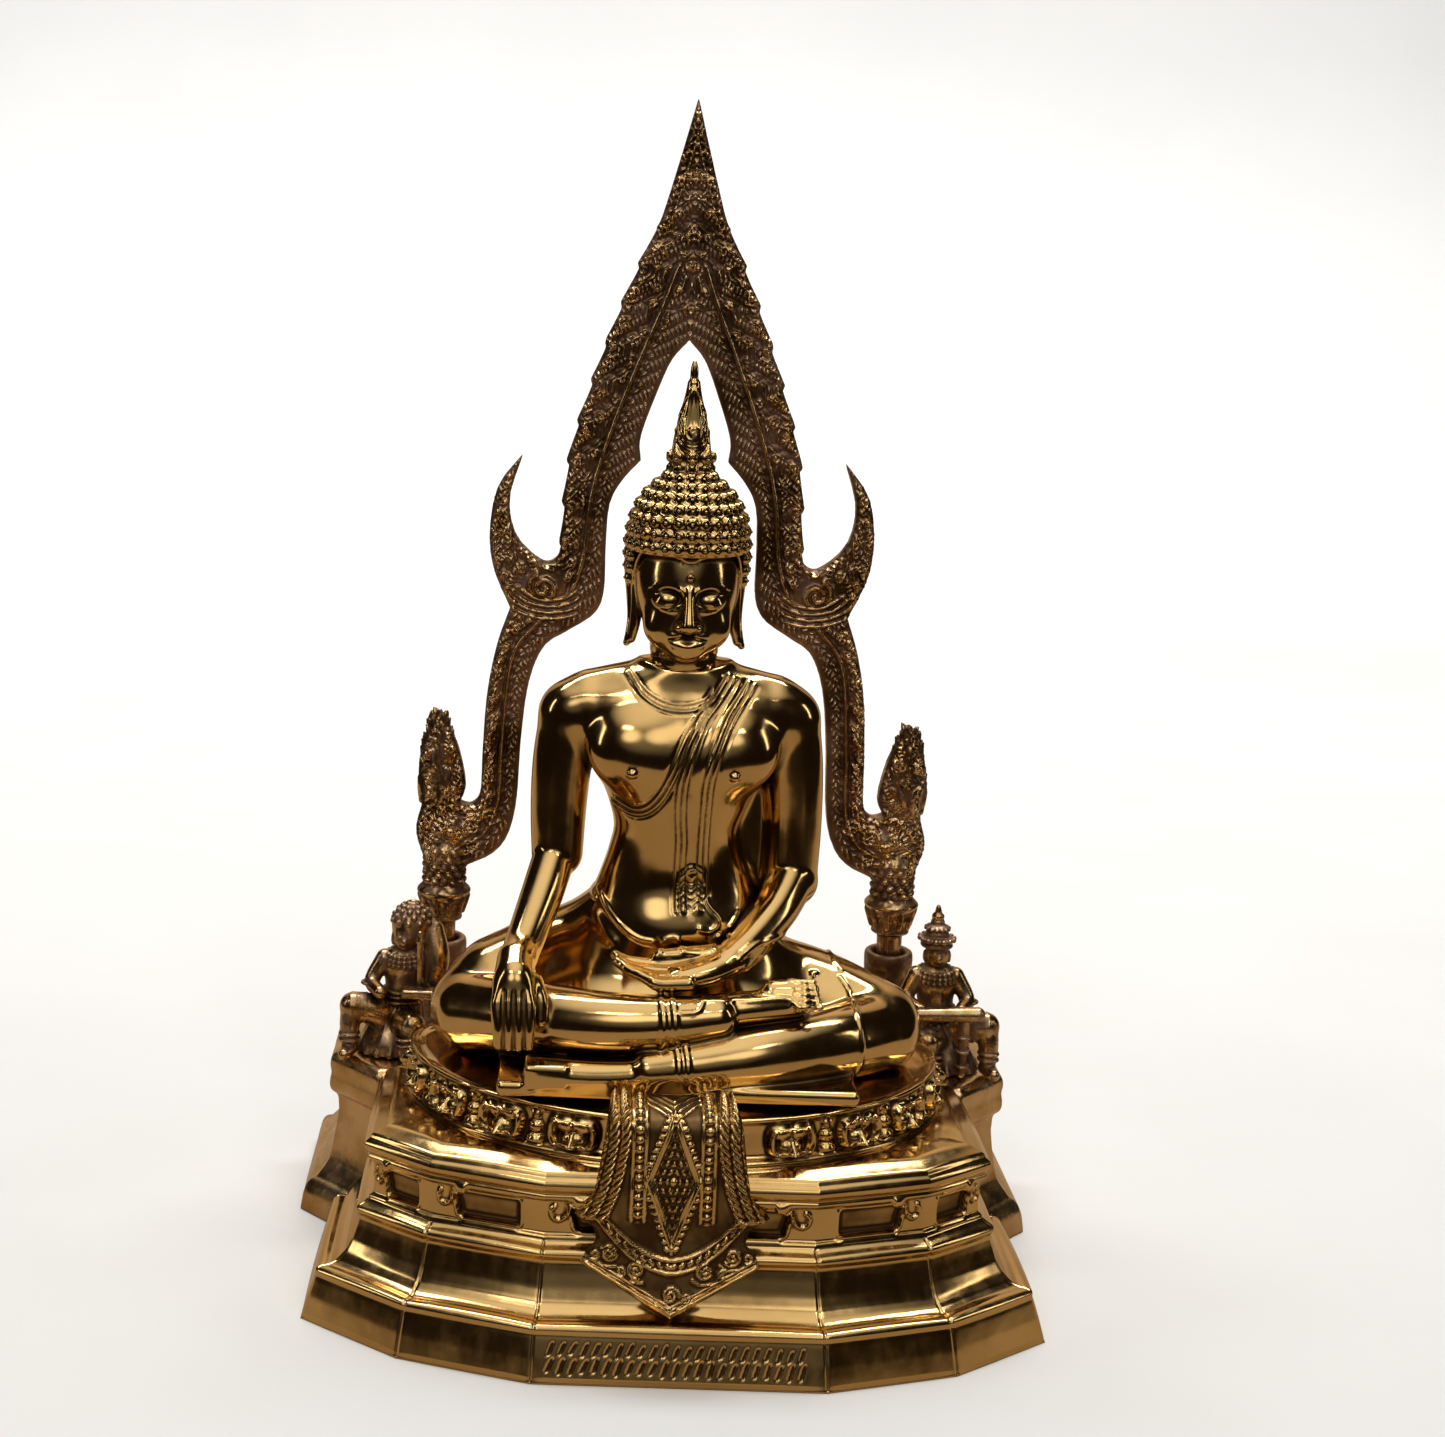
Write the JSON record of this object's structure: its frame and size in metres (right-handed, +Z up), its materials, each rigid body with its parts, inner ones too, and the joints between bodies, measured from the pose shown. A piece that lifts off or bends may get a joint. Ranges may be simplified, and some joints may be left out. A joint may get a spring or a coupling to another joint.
{
  "type": "seated buddha statue with lotus throne and flame arch",
  "caption": "Cast bronze figure seated cross-legged on a stepped lotus throne, under a tall flame arch that stands in sockets of a rear plinth with guardians.",
  "frame": {"origin": "middle of the footprint, on the underside", "axes": "+Z up, the figure faces -Y, +X to the right of someone facing the front"},
  "size_m": [0.1968, 0.1352, 0.303],
  "materials": {
    "polished_bronze": "mirror-polished golden bronze, darker in the recesses",
    "dark_bronze": "brown patinated bronze with rubbed golden high points"
  },
  "bodies": {
    "root": {"lotus_throne": "polished_bronze", "rear_plinth": "polished_bronze", "seated_buddha": "polished_bronze", "flame_arch": "dark_bronze", "guardian_left": "dark_bronze", "guardian_right": "dark_bronze"}
  },
  "joints": []
}
